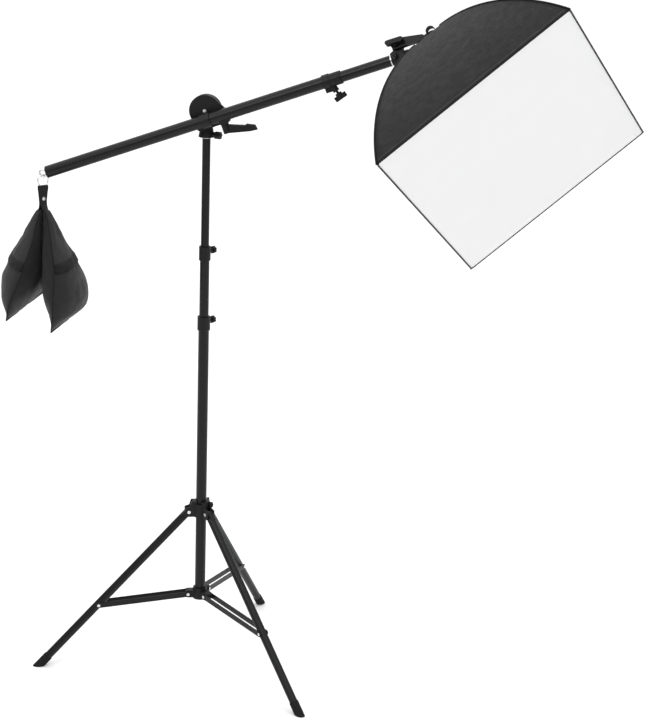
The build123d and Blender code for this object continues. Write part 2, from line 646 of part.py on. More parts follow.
COLLAR_LEFT = BOOM_COLLAR_AT - 26
CLAMP_LENGTH = 16.0
COLLAR_RIGHT = BOOM_COLLAR_AT + 17
BOOM_KNOB_LEAN = radians(17.0)     # the knob's axis leans towards the boom's right end
BOOM_KNOB_START = BOOM_INNER_D / 2 + 2.0
boom_knob_plane = Plane(
    origin=boom_origin + along * (BOOM_COLLAR_AT - 12),
    x_dir=along * cos(BOOM_KNOB_LEAN) + above * sin(BOOM_KNOB_LEAN),
    z_dir=along * sin(BOOM_KNOB_LEAN) - above * cos(BOOM_KNOB_LEAN),
)
BOOM_BOSS_END = 28.5
with BuildPart() as boom_collar:
    with BuildSketch(boom.offset(COLLAR_LEFT)):
        Circle(BOOM_TUBE_D / 2 + 2.6)
        with Locations((-15, 0)):
            RectangleRounded(20, 13, 2)
    extrude(amount=CLAMP_LENGTH)
    with BuildSketch(boom.offset(COLLAR_LEFT + CLAMP_LENGTH)):
        Circle(BOOM_TUBE_D / 2 + 1.2)
    extrude(amount=COLLAR_RIGHT - COLLAR_LEFT - CLAMP_LENGTH)
    with BuildSketch(boom_knob_plane):
        Circle(7.5)
    extrude(amount=BOOM_BOSS_END)
    with BuildSketch(boom.offset(COLLAR_LEFT)):
        Circle(BOOM_TUBE_D / 2)
    extrude(amount=BOOM_OUTER_END - COLLAR_LEFT, mode=Mode.SUBTRACT)
    with BuildSketch(boom.offset(COLLAR_LEFT)):
        Circle(BOOM_INNER_D / 2 + RUN)
    extrude(amount=COLLAR_RIGHT - COLLAR_LEFT, mode=Mode.SUBTRACT)
    with BuildSketch(boom.offset(COLLAR_LEFT)):
        with Locations((-20, 0)):
            Rectangle(16, 2)
    extrude(amount=CLAMP_LENGTH, mode=Mode.SUBTRACT)
    with BuildSketch(boom_knob_plane):
        Circle(6.0 / 2 + RUN)
    extrude(amount=BOOM_BOSS_END, mode=Mode.SUBTRACT)
save(boom_collar.part, "boom_collar")
save(
    wing_knob(
        boom_knob_plane.offset(BOOM_KNOB_START),
        6.0,
        BOOM_BOSS_END + 5 - BOOM_KNOB_START,
        30.0,
        16.0,
        9.0,
    ),
    "boom_collar_knob",
)

STUD_RIM = 2.0
STUD_REACH = 34.0
with BuildPart() as boom_stud:
    with BuildSketch(boom.offset(INNER_END - 25)):
        Circle(inner_bore / 2)
    extrude(amount=25)
    with BuildSketch(boom.offset(INNER_END)):
        Circle(13.3)
    extrude(amount=STUD_RIM)
    with BuildSketch(boom.offset(INNER_END + STUD_RIM)):
        Circle(8.0)
    extrude(amount=STUD_REACH)
save(boom_stud.part, "boom_stud")


# ---- swivel and tilt bracket --------------------------------------------------------------
SOCKET_R = 13.0
SOCKET_START = INNER_END + STUD_RIM + GAP
SOCKET_LENGTH = 40.0
ROSETTE_R = 13.0
YOKE_BACK = 3.0                    # yoke and arm faces, along the tilt axis
YOKE_FRONT = 13.3
ARM_BACK = 13.6
ARM_FRONT = 22.6
TILT_BOLT_D = 6.0
stud_screw_plane = Plane(
    origin=boom_origin + along * 461,
    x_dir=along,
    z_dir=face_long,
)
STUD_BOSS_END = 16.0
with BuildPart() as bracket_socket:
    with BuildSketch(boom.offset(SOCKET_START)):
        Circle(SOCKET_R)
    extrude(amount=SOCKET_LENGTH)
    with BuildSketch(swivel.offset(YOKE_BACK)):
        Circle(ROSETTE_R)
        with Locations((0, -TILT_RISE)):
            Circle(SOCKET_R - 3)
        make_hull()
    extrude(amount=YOKE_FRONT - YOKE_BACK)
    with BuildSketch(stud_screw_plane):
        Circle(6.0)
    extrude(amount=STUD_BOSS_END)
    with BuildSketch(boom.offset(SOCKET_START)):
        Circle(8.0 + RUN)
    extrude(amount=STUD_REACH + 1, mode=Mode.SUBTRACT)
    with BuildSketch(stud_screw_plane):
        Circle(KNOB_STEM_D / 2 + RUN)
    extrude(amount=STUD_BOSS_END, mode=Mode.SUBTRACT)
    with BuildSketch(swivel):
        Circle(TILT_BOLT_D / 2 + RUN)
    extrude(amount=YOKE_FRONT, mode=Mode.SUBTRACT)
save(bracket_socket.part, "bracket_socket")
save(
    lobed_knob(
        stud_screw_plane.offset(8.0 + 2 * GAP),
        KNOB_STEM_D,
        STUD_BOSS_END + 0.6 - 8.0 - 2 * GAP,
        15.0,
        10.0,
    ),
    "bracket_thumbscrew",
)

KNOB_BACK = ARM_FRONT + 0.6
with BuildPart() as tilt_knob:
    with BuildSketch(swivel.offset(YOKE_BACK - 3)):
        Circle(TILT_BOLT_D / 2)
    extrude(amount=KNOB_BACK + 1 - YOKE_BACK + 3)
    with BuildSketch(swivel.offset(KNOB_BACK)):
        Circle(8.5)
    extrude(amount=8)
    with BuildSketch(swivel.offset(KNOB_BACK + 4)):
        SlotOverall(42, 11)
    extrude(amount=12)
save(tilt_knob.part, "tilt_knob")

HOLDER_R = 29.0
HOLDER_BACK = -8.0
PLATE_R = 24.0
PLATE_THICK = 6.0
ARM_END_R = 7.0
with BuildPart() as tilt_arm:
    with BuildSketch(arm.offset(ARM_BACK)):
        Circle(ROSETTE_R)
        with Locations((LAMP_SIDE - 12, ARM_END_R - HOLDER_BACK - LAMP_BACK)):
            Circle(ARM_END_R)
        make_hull()
    extrude(amount=ARM_FRONT - ARM_BACK)
    with BuildSketch(softbox.offset(HOLDER_BACK - PLATE_THICK)):
        Circle(PLATE_R)
    extrude(amount=PLATE_THICK)
    with BuildSketch(swivel):
        Circle(TILT_BOLT_D / 2 + RUN)
    extrude(amount=ARM_FRONT + 1, mode=Mode.SUBTRACT)
save(tilt_arm.part, "tilt_arm")


# ---- lamp holder and bulb -----------------------------------------------------------------
HOLDER_FRONT = 22.0
SOCKET_OUT_R = 20.0
CAP_R = 13.0
with BuildPart() as lamp_holder:
    with BuildSketch(softbox.offset(HOLDER_BACK)):
        Circle(HOLDER_R)
    extrude(amount=HOLDER_FRONT - HOLDER_BACK)
    with BuildSketch(softbox.offset(HOLDER_BACK + 4)):
        Circle(SOCKET_OUT_R)
    extrude(amount=60, mode=Mode.SUBTRACT)
save(lamp_holder.part, "lamp_holder")

SOCKET_FRONT = 40.0
with BuildPart() as lamp_socket:
    with BuildSketch(softbox.offset(HOLDER_BACK + 4)):
        Circle(SOCKET_OUT_R)
    extrude(amount=SOCKET_FRONT - HOLDER_BACK - 4)
    with BuildSketch(softbox.offset(SOCKET_FRONT - 30)):
        Circle(CAP_R + RUN)
    extrude(amount=30, mode=Mode.SUBTRACT)
save(lamp_socket.part, "lamp_socket")

save(tube(softbox.offset(SOCKET_FRONT - 27), 2 * CAP_R, 27.0), "bulb_cap")

DOME_START = 96.0
DOME_R = 38.0
with BuildPart() as bulb:
    with BuildSketch(softbox.offset(DOME_START)):
        Circle(DOME_R)
    extrude(amount=DOME_R)
    fillet(bulb.edges().group_by(Axis(softbox.origin, softbox.z_dir))[-1], DOME_R * 0.9)
    with BuildSketch(softbox.offset(SOCKET_FRONT)):
        Circle(16.0)
    with BuildSketch(softbox.offset(DOME_START)):
        Circle(DOME_R)
    loft()
save(bulb.part, "bulb")


# ---- softbox ------------------------------------------------------------------------------
def shell_profile(half):
    """Rim, middle and neck points of one panel's section, as (out, along the lamp axis)."""
    rim = (half, FACE_AT)
    middle = (half * BULGE_SHARE, FACE_AT - BULGE_DEPTH)
    neck = (half * NECK_SHARE, FACE_AT - SHELL_DEPTH)
    return rim, middle, neck


HALF_W = FACE_WIDTH / 2
HALF_H = FACE_HEIGHT / 2
PANELS = {
    # name: (direction out, half size that way, half size across)
    "panel_right": (face_short, HALF_W, HALF_H),
    "panel_left": (-face_short, HALF_W, HALF_H),
    "panel_top": (face_long, HALF_H, HALF_W),
    "panel_bottom": (-face_long, HALF_H, HALF_W),
}
for panel_name, (outward, half_out, half_across) in PANELS.items():
    section = Plane(origin=lamp_foot, x_dir=outward, z_dir=outward.cross(lamp_dir))
    wedge = Plane(origin=lamp_foot, x_dir=outward, z_dir=lamp_dir)
    with BuildPart() as panel:
        with BuildSketch(section):
            with BuildLine():
                ThreePointArc(*shell_profile(half_out))
                offset(amount=FABRIC, side=Side.RIGHT)
            make_face()
        extrude(amount=half_across, both=True)
        with BuildSketch(wedge):
            Polygon((0, 0), (half_out, half_across), (half_out, -half_across), align=None)
        extrude(amount=FACE_AT, mode=Mode.INTERSECT)
    save(panel.part, panel_name)

BINDING = 5.0
with BuildPart() as edge_binding:
    with BuildSketch(softbox.offset(FACE_AT)):
        RectangleRounded(FACE_WIDTH, FACE_HEIGHT, 6)
        RectangleRounded(FACE_WIDTH - 2 * BINDING, FACE_HEIGHT - 2 * BINDING, 4, mode=Mode.SUBTRACT)
    extrude(amount=4.0)
save(edge_binding.part, "edge_binding")

DIFFUSER_INSET = 4.0
with BuildPart() as diffuser:
    with BuildSketch(softbox.offset(FACE_AT - 1.5)):
        RectangleRounded(FACE_WIDTH - 2 * DIFFUSER_INSET, FACE_HEIGHT - 2 * DIFFUSER_INSET, 5)
    extrude(amount=1.5)
save(diffuser.part, "diffuser")

# Each rod runs in the plane of a corner, a little inside the seam between two panels.
corner_reach = hypot(HALF_W, HALF_H)
rim_pt, middle_pt, neck_pt = shell_profile(corner_reach)
ROD_INSET_RIM = 9.0
ROD_INSET_HUB = 15.0
ROD_SOCKET_D = 8.0
ROD_IN_SOCKET = 18.0
rod_curve = ThreePointArc(rim_pt, middle_pt, neck_pt)


def inside_rod(share, inset):
    """Point a little inside the corner seam, at a share of its length from the rim."""
    point = rod_curve.position_at(share)
    inward = Vector(rod_curve.arc_center.X, rod_curve.arc_center.Y) - point
    return point + inward.normalized() * inset


rod_points = [
    inside_rod(0.975, ROD_INSET_HUB),
    inside_rod(0.5, ROD_INSET_RIM + 1),
    inside_rod(0.02, ROD_INSET_RIM),
]
rod_arc = ThreePointArc(*rod_points)
rod_start = rod_arc.tangent_at(0)
rod_back = rod_points[0] - rod_start * ROD_IN_SOCKET

corner_angle = degrees(atan2(HALF_H, HALF_W))
corner_angles = (corner_angle, 180 - corner_angle, 180 + corner_angle, -corner_angle)


def on_corner(angle, point):
    """Place a point (out, along the lamp axis) in the plane of one corner."""
    out = face_short * cos(radians(angle)) + face_long * sin(radians(angle))
    return lamp_foot + out * point.X + lamp_dir * point.Y


with BuildPart() as softbox_rods:
    for angle in corner_angles:
        with BuildLine() as rod_path:
            Line(*(on_corner(angle, point) for point in (rod_back, rod_points[0])))
            ThreePointArc(*(on_corner(angle, point) for point in rod_points))
        with BuildSketch(Plane(origin=rod_path.line @ 0, z_dir=rod_path.line % 0)):
            Circle(ROD_D / 2)
        sweep(path=rod_path.line)
save(softbox_rods.part, "softbox_rods")

HUB_RING = (4.0, 20.0)
with BuildPart() as rod_hub:
    with BuildSketch(softbox.offset(HUB_RING[0])):
        Circle(HOLDER_R + 3)
    extrude(amount=HUB_RING[1] - HUB_RING[0])
    for angle in corner_angles:
        socket_foot = on_corner(angle, rod_points[0] - rod_start * 38)
        socket_dir = on_corner(angle, rod_points[0]) - socket_foot
        socket_plane = Plane(origin=socket_foot, z_dir=socket_dir)
        with BuildSketch(socket_plane):
            Circle(ROD_SOCKET_D / 2)
        extrude(amount=40)
        with BuildSketch(socket_plane.offset(38 - ROD_IN_SOCKET)):
            Circle(ROD_D / 2)
        extrude(amount=ROD_IN_SOCKET + 4, mode=Mode.SUBTRACT)
    with BuildSketch(softbox.offset(HUB_RING[0] - 10)):
        Circle(HOLDER_R)
    extrude(amount=60, mode=Mode.SUBTRACT)
save(rod_hub.part, "rod_hub")


# ---- counterweight bag --------------------------------------------------------------------
ring_drop = EYE_RADIUS - EYE_WIRE - RING_WIRE - GAP + RING_RADIUS
ring_centre = eye_centre - UP * ring_drop
RING_TURN = HEAD_AZIMUTH - 90 + 45
ring_out = azimuth(RING_TURN + 90)
with BuildPart() as bag_ring:
    with BuildSketch(Plane(origin=ring_centre, x_dir=ring_out, z_dir=UP)):
        with Locations((RING_RADIUS, 0)):
            Circle(RING_WIRE)
    revolve(axis=Axis(ring_centre, azimuth(RING_TURN)))
save(bag_ring.part, "bag_ring")

STRAP_WIDTH = 20.0
STRAP_THICK = 9.0
strap_top = ring_drop + RING_RADIUS - 3.6
with BuildPart() as bag_strap:
    with BuildSketch(bag.offset(-strap_top)):
        RectangleRounded(STRAP_WIDTH, STRAP_THICK, 2)
    extrude(amount=strap_top - BAG_TOP)
    with BuildSketch(Plane(origin=ring_centre, x_dir=ring_out, z_dir=UP)):
        with Locations((RING_RADIUS, 0)):
            Circle(RING_WIRE + GAP)
    revolve(axis=Axis(ring_centre, azimuth(RING_TURN)), mode=Mode.SUBTRACT)
save(bag_strap.part, "bag_strap")

# Pouch sections: share of the drop below the pouches' top, half width, how far each side seam is
# turned out of the width's direction, distance from the bag's middle, inner and outer belly.
POUCH_SECTIONS = (
    (0.00, 10.0, 3.0, 8.0, 2.0, 4.0),
    (0.13, 38.0, 11.0, 15.0, 5.0, 14.0),
    (0.27, 68.0, 20.0, 22.0, 10.0, 24.0),
    (0.50, 112.0, 29.0, 37.0, 24.0, 43.0),
    (0.72, 125.0, 22.0, 46.0, 33.0, 52.0),
    (0.88, 127.0, 14.0, 52.0, 22.0, 38.0),
    (1.00, 127.0, 9.0, 55.0, 2.0, 3.0),
)
for pouch_name, side, drop in (("pouch_left", -1, LEFT_DROP), ("pouch_right", 1, RIGHT_DROP)):
    with BuildPart() as pouch:
        for share, half_width, skew, middle, inner, outer in POUCH_SECTIONS:
            centre = side * (middle + (outer - inner) / 2)
            twist = degrees(atan2(skew, half_width))
            with BuildSketch(bag.offset(-BAG_TOP - (drop - BAG_TOP) * share)):
                with Locations((centre, 0)):
                    Ellipse((inner + outer) / 2, hypot(half_width, skew), rotation=twist)
        loft()
    save(pouch.part, pouch_name)

whole = Compound(children=list(pieces.values()))
box = whole.bounding_box()
print(len(pieces), "nodes", box.min, box.max, "origin off by", (box.min + box.max) / 2)
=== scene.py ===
import json
import math

import bpy
import bmesh
from mathutils import Matrix, Vector, noise


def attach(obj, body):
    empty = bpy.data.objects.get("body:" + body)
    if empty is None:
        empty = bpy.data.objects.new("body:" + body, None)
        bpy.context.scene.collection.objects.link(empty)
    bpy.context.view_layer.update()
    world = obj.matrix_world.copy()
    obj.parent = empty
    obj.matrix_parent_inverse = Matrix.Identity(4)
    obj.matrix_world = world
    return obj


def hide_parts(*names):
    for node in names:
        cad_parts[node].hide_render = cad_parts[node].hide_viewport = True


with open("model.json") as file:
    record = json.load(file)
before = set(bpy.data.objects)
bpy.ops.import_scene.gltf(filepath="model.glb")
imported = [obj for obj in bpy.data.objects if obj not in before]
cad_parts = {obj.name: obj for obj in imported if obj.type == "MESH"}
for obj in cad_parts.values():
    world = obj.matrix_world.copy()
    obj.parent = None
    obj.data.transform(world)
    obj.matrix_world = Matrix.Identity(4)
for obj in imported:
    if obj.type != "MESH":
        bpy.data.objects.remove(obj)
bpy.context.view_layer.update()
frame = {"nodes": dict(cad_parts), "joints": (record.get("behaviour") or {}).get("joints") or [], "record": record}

# ---- directions and places, from the frame's joints ---------------------------------------
JOINTS = {joint["name"]: joint for joint in frame["joints"]}
UP = Vector((0, 0, 1))


def joint_axis(name):
    return Vector(JOINTS[name]["axis"]).normalized()


def joint_place(name):
    return Vector(JOINTS[name]["pos_m"])


STAND = joint_place("head_pan")                # the column's foot
STAND.z = 0
ALONG = joint_axis("boom_slide")              # along the boom, towards the softbox
FACE_LONG = -joint_axis("softbox_tilt")       # along the softbox face's long side
AWAY = FACE_LONG.cross(ALONG)
LAMP_TILT = math.radians(66.29)               # lamp axis to boom
LAMP = ALONG * math.cos(LAMP_TILT) - AWAY * math.sin(LAMP_TILT)
FACE_SHORT = FACE_LONG.cross(LAMP)
TILT_JOINT = joint_place("softbox_tilt")
LAMP_SIDE = 0.0647                            # lamp axis and neck plane, from the tilt joint
LAMP_BACK = 0.0435
LAMP_FOOT = TILT_JOINT + FACE_SHORT * LAMP_SIDE + LAMP * LAMP_BACK
EYE = joint_place("bag_swing")
BAG_TURN = math.radians(-12.4)                # azimuth of the bag's thickness direction
BAG_SIDE = Vector((math.cos(BAG_TURN), math.sin(BAG_TURN), 0))
BAG_WIDE = UP.cross(BAG_SIDE)


def softbox_point(x, y, z):
    """A point in the softbox's frame: along the short side, the long side and the lamp axis."""
    return LAMP_FOOT + FACE_SHORT * x + FACE_LONG * y + LAMP * z


def bag_point(x, y, drop):
    """A point on the bag: across its thickness, along its width, and down from the eye."""
    return EYE + BAG_SIDE * x + BAG_WIDE * y - UP * drop


def smooth_step(value):
    """0 below 0, 1 above 1, and an even curve between."""
    value = max(0.0, min(1.0, value))
    return value * value * (3 - 2 * value)


# ---- mesh helpers -------------------------------------------------------------------------
def mesh_object(name, points, faces, uvs=None, smooth=True):
    """Object from points and faces; uvs holds one (u, v) in metres for each point."""
    mesh = bpy.data.meshes.new(name)
    mesh.from_pydata([tuple(p) for p in points], [], faces)
    mesh.validate()
    if uvs:
        layer = mesh.uv_layers.new(name="UVMap")
        for loop in mesh.loops:
            layer.data[loop.index].uv = uvs[loop.vertex_index]
    piece = bpy.data.objects.new(name, mesh)
    bpy.context.scene.collection.objects.link(piece)
    if smooth:
        mesh.shade_smooth()
    fix_normals(piece)
    return piece


def fix_normals(piece):
    """Point every face outwards."""
    work = bmesh.new()
    work.from_mesh(piece.data)
    bmesh.ops.recalc_face_normals(work, faces=work.faces)
    work.to_mesh(piece.data)
    work.free()


def apply_modifiers(piece):
    """Replace a piece's mesh by its evaluated one and drop the modifiers."""
    bpy.context.view_layer.update()
    graph = bpy.context.evaluated_depsgraph_get()
    mesh = bpy.data.meshes.new_from_object(piece.evaluated_get(graph))
    piece.modifiers.clear()
    piece.data = mesh


def grid_faces(rows, columns, wrap=False, start=0):
    """Quads of a grid of points stored row by row; wrap closes each row on itself."""
    faces = []
    last = columns if wrap else columns - 1
    for row in range(rows - 1):
        for column in range(last):
            after = (column + 1) % columns
            a = start + row * columns + column
            b = start + row * columns + after
            faces.append((a, b, b + columns, a + columns))
    return faces


def tube_along(name, path, radius, sides=10, closed=False):
    """Round tube through a list of points."""
    points = []
    uvs = []
    count = len(path)
    run = 0.0
    side = None
    for i, centre in enumerate(path):
        before = path[i - 1] if (i or closed) else path[0]
        after = path[(i + 1) % count] if (i < count - 1 or closed) else path[-1]
        tangent = (after - before).normalized()
        if side is None:
            side = tangent.orthogonal().normalized()
        side = (side - tangent * side.dot(tangent)).normalized()
        other = tangent.cross(side)
        run += (centre - path[i - 1]).length if i else 0.0
        for k in range(sides):
            turn = 2 * math.pi * k / sides
            points.append(centre + (side * math.cos(turn) + other * math.sin(turn)) * radius)
            uvs.append((run, radius * turn))
    faces = grid_faces(count, sides, wrap=True)
    if closed:
        last = (count - 1) * sides
        for k in range(sides):
            faces.append((last + k, last + (k + 1) % sides, (k + 1) % sides, k))
    else:
        faces.append(tuple(range(sides)))
        faces.append(tuple((count - 1) * sides + k for k in range(sides)))
    return mesh_object(name, points, faces, uvs)


def ribbon(name, path, across, width, thick):
    """Flat strap through a list of points; across gives its width direction at each point."""
    points = []
    uvs = []
    section = ((-0.5, -0.3), (-0.46, -0.5), (0.46, -0.5), (0.5, -0.3),
               (0.5, 0.3), (0.46, 0.5), (-0.46, 0.5), (-0.5, 0.3))
    run = 0.0
    for i, centre in enumerate(path):
        tangent = (path[min(i + 1, len(path) - 1)] - path[max(i - 1, 0)]).normalized()
        wide = across[i] - tangent * across[i].dot(tangent)
        wide.normalize()
        normal = tangent.cross(wide)
        run += (centre - path[i - 1]).length if i else 0.0
        for w, t in section:
            points.append(centre + wide * w * width + normal * t * thick)
            uvs.append((w * width, run))
    count = len(section)
    faces = grid_faces(len(path), count, wrap=True)
    faces.append(tuple(range(count)))
    faces.append(tuple((len(path) - 1) * count + k for k in range(count)))
    return mesh_object(name, points, faces, uvs)


def stitches(name, path, normals, pitch=0.0042, length=0.0028, width=0.0008, lift=0.0003):
    """A row of thread stitches on a surface, along a path of points with surface normals."""
    points = []
    faces = []
    distance = 0.0
    next_at = pitch / 2
    for i in range(len(path) - 1):
        step = path[i + 1] - path[i]
        size = step.length
        while next_at <= distance + size:
            share = (next_at - distance) / size
            centre = path[i] + step * share
            normal = normals[i].lerp(normals[i + 1], share).normalized()
            direction = step.normalized()
            across = normal.cross(direction)
            base = len(points)
            for along_share, wide_share, high in (
                (-0.5, 0, -1), (-0.3, 0.5, 0.2), (-0.3, -0.5, 0.2), (0, 0, 1),
                (0.3, 0.5, 0.2), (0.3, -0.5, 0.2), (0.5, 0, -1),
            ):
                points.append(centre + direction * along_share * length
                              + across * wide_share * width + normal * (lift + high * 0.0003))
            for face in ((0, 1, 3), (0, 3, 2), (1, 4, 3), (2, 3, 5), (3, 4, 6), (3, 6, 5),
                         (0, 2, 1), (1, 2, 5, 4), (4, 5, 6)):
                faces.append(tuple(base + k for k in face))
            next_at += pitch
        distance += size
    return mesh_object(name, points, faces, smooth=False)


# ---- materials ----------------------------------------------------------------------------
class Shader:
    """A Principled material and short calls for the nodes that feed it."""

    def __init__(self, name, colour, rough, metallic=0.0, specular=0.5):
        self.material = bpy.data.materials.new(name)
        self.material.use_nodes = True
        self.tree = self.material.node_tree
        self.shader = self.tree.nodes["Principled BSDF"]
        self.colour = colour
        self.shader.inputs["Metallic"].default_value = metallic
        self.shader.inputs["Roughness"].default_value = rough
        self.shader.inputs["Specular IOR Level"].default_value = specular
        self.material.diffuse_color = (*colour, 1)
        self.where = self.tree.nodes.new("ShaderNodeTexCoord")
        self.height = None

    def link(self, source, target):
        self.tree.links.new(source, target)

    def noise(self, scale, detail=3.0, stretch=None, space="Object"):
        """Noise in metres; stretch squeezes it along the axes."""
        node = self.tree.nodes.new("ShaderNodeTexNoise")
        node.inputs["Scale"].default_value = scale
        node.inputs["Detail"].default_value = detail
        source = self.where.outputs[space]
        if stretch:
            mapping = self.tree.nodes.new("ShaderNodeMapping")
            mapping.inputs["Scale"].default_value = stretch
            self.link(source, mapping.inputs["Vector"])
            source = mapping.outputs["Vector"]
        self.link(source, node.inputs["Vector"])
        return node.outputs["Fac"]

    def spread(self, source, low, high, start=0.3, end=0.7):
        """Map a 0 to 1 value to a range."""
        node = self.tree.nodes.new("ShaderNodeMapRange")
        node.inputs["From Min"].default_value = start
        node.inputs["From Max"].default_value = end
        node.inputs["To Min"].default_value = low
        node.inputs["To Max"].default_value = high
        self.link(source, node.inputs["Value"])
        return node.outputs["Result"]

    def mottle(self, source, amount):
        """Colour that varies a little around the base colour."""
        node = self.tree.nodes.new("ShaderNodeMix")
        node.data_type = "RGBA"
        node.inputs["A"].default_value = (*(c * (1 - amount) for c in self.colour), 1)
        node.inputs["B"].default_value = (*(min(c * (1 + amount), 1) for c in self.colour), 1)
        self.link(source, node.inputs["Factor"])
        self.link(node.outputs["Result"], self.shader.inputs["Base Color"])
        return node.outputs["Result"]

    def rough(self, source, low, high):
        self.link(self.spread(source, low, high), self.shader.inputs["Roughness"])

    def bump(self, source, distance, strength=1.0):
        """Raise the surface by a texture; calls stack."""
        node = self.tree.nodes.new("ShaderNodeBump")
        node.inputs["Distance"].default_value = distance
        node.inputs["Strength"].default_value = strength
        self.link(source, node.inputs["Height"])
        if self.height:
            self.link(self.height, node.inputs["Normal"])
        self.height = node.outputs["Normal"]
        self.link(self.height, self.shader.inputs["Normal"])

    def weave(self, thread, space="UV", twill=False):
        """Over and under threads, one thread width apart."""
        scale = math.pi / 10 / thread
        waves = []
        for direction in ("X", "Y"):
            node = self.tree.nodes.new("ShaderNodeTexWave")
            node.wave_type = "BANDS"
            node.bands_direction = "DIAGONAL" if twill and direction == "X" else direction
            node.inputs["Scale"].default_value = scale
            node.inputs["Distortion"].default_value = 0.15
            node.inputs["Detail"].default_value = 1.0
            self.link(self.where.outputs[space], node.inputs["Vector"])
            waves.append(node.outputs["Fac"])
        node = self.tree.nodes.new("ShaderNodeMath")
        node.operation = "MULTIPLY"
        self.link(waves[0], node.inputs[0])
        self.link(waves[1], node.inputs[1])
        return node.outputs["Value"]


def coated_metal(name, colour, rough, grain=1800):
    """Satin powder coat on a tube or casting."""
    made = Shader(name, colour, rough, specular=0.24)
    cloud = made.noise(35, 4)
    made.mottle(cloud, 0.22)
    made.rough(made.noise(140, 3), rough - 0.05, rough + 0.08)
    made.bump(made.noise(grain, 2), 0.00006, 0.5)
    return made.material


def moulded_plastic(name, colour, rough):
    """Moulded nylon with a fine spark-eroded grain."""
    made = Shader(name, colour, rough, specular=0.22)
    made.mottle(made.noise(55, 4), 0.2)
    made.rough(made.noise(220, 3), rough - 0.07, rough + 0.08)
    made.bump(made.noise(2600, 2), 0.0001, 0.55)
    return made.material


def bright_metal(name, colour, rough):
    """Zinc-plated steel, with faint drawn streaks."""
    made = Shader(name, colour, rough, metallic=1.0)
    made.mottle(made.noise(90, 3), 0.12)
    made.rough(made.noise(500, 2, stretch=(1, 1, 0.15)), rough - 0.08, rough + 0.12)
    made.bump(made.noise(1500, 2, stretch=(1, 1, 0.1)), 0.00003, 0.4)
    return made.material


def rubber(name, colour):
    """Matt rubber with dust in the grain."""
    made = Shader(name, colour, 0.8, specular=0.15)
    made.mottle(made.noise(120, 5), 0.35)
    made.rough(made.noise(300, 3), 0.68, 0.9)
    made.bump(made.noise(1400, 3), 0.00025, 0.6)
    return made.material


def cloth(name, colour, rough, thread, sheen=0.15, crease=0.0006, space="UV", mottle=0.12, specular=0.18):
    """Plain woven cloth with soft creases."""
    made = Shader(name, colour, rough, specular=specular)
    made.mottle(made.noise(18, 5), mottle)
    made.rough(made.noise(60, 3), rough - 0.06, rough + 0.08)
    made.bump(made.noise(9, 3), crease, 0.5)
    made.bump(made.weave(thread, space), thread * 0.25, 0.5)
    made.shader.inputs["Sheen Weight"].default_value = sheen
    made.shader.inputs["Sheen Roughness"].default_value = 0.5
    return made.material


def silver_lining(name):
    """Crinkled silver coating on cloth."""
    made = Shader(name, (0.78, 0.78, 0.8), 0.34, metallic=0.85)
    made.mottle(made.noise(40, 4), 0.08)
    made.rough(made.noise(120, 3), 0.28, 0.46)
    cells = made.tree.nodes.new("ShaderNodeTexVoronoi")
    cells.inputs["Scale"].default_value = 260
    made.link(made.where.outputs["Object"], cells.inputs["Vector"])
    made.bump(cells.outputs["Distance"], 0.0005, 0.5)
    return made.material


def diffusion_cloth(name):
    """White diffusion cloth, with a faint painted glow that stands in for the lamp light behind it."""
    made = Shader(name, (0.75, 0.75, 0.752), 0.75, specular=0.2)
    made.mottle(made.noise(14, 4), 0.012)
    made.rough(made.noise(80, 3), 0.7, 0.85)
    made.bump(made.noise(7, 3), 0.0004, 0.35)
    made.bump(made.weave(0.0006), 0.00012, 0.35)
    made.shader.inputs["Sheen Weight"].default_value = 0.1
    # painted glow: a little emission makes the cloth shine, though no lamp is lit behind it
    made.shader.inputs["Emission Color"].default_value = (1, 1, 1, 1)
    made.shader.inputs["Emission Strength"].default_value = 0.03
    return made.material


def glazed(name, colour, rough):
    """Glazed ceramic or opal glass."""
    made = Shader(name, colour, rough, specular=0.5)
    made.mottle(made.noise(25, 3), 0.03)
    made.rough(made.noise(90, 2), rough - 0.03, rough + 0.06)
    made.bump(made.noise(120, 2), 0.0001, 0.3)
    made.shader.inputs["Coat Weight"].default_value = 0.4
    return made.material


BLACK_TUBE = coated_metal("black_tube", (0.005, 0.005, 0.0055), 0.34)
BLACK_LEG = coated_metal("black_leg", (0.005, 0.005, 0.0055), 0.38)
BLACK_CAST = coated_metal("black_casting", (0.0055, 0.0055, 0.006), 0.44, grain=900)
BLACK_PLASTIC = moulded_plastic("black_plastic", (0.0055, 0.0055, 0.006), 0.46)
ZINC = bright_metal("zinc", (0.66, 0.66, 0.68), 0.26)
FOOT_RUBBER = rubber("foot_rubber", (0.01, 0.01, 0.01))
OPAL = glazed("opal_bulb", (0.9, 0.9, 0.86), 0.25)
CERAMIC = glazed("white_ceramic", (0.82, 0.81, 0.78), 0.18)
SHELL_CLOTH = cloth("shell_nylon", (0.005, 0.005, 0.0052), 0.6, 0.0008, sheen=0.04)
BINDING_CLOTH = cloth("binding_tape", (0.006, 0.006, 0.006), 0.75, 0.0011, sheen=0.02)
BAG_CLOTH = cloth("bag_nylon", (0.011, 0.011, 0.0115), 0.58, 0.0013, sheen=0.06, crease=0.0012)
WEBBING = cloth("webbing", (0.009, 0.009, 0.0095), 0.7, 0.0016, sheen=0.03)
THREAD = cloth("black_thread", (0.016, 0.016, 0.0165), 0.55, 0.0005, space="Object")
SILVER = silver_lining("silver_lining")
WHITE_CLOTH = diffusion_cloth("diffusion_cloth")

SLOT_MATERIALS = {
    "black_tube": BLACK_TUBE,
    "leg_tube": BLACK_LEG,
    "cast_black": BLACK_CAST,
    "black_plastic": BLACK_PLASTIC,
    "zinc": ZINC,
    "foot_rubber": FOOT_RUBBER,
    "white_ceramic": CERAMIC,
    "opal": OPAL,
    "shell_black": SHELL_CLOTH,
    "binding": BINDING_CLOTH,
    "white_cloth": WHITE_CLOTH,
    "bag_cloth": BAG_CLOTH,
}


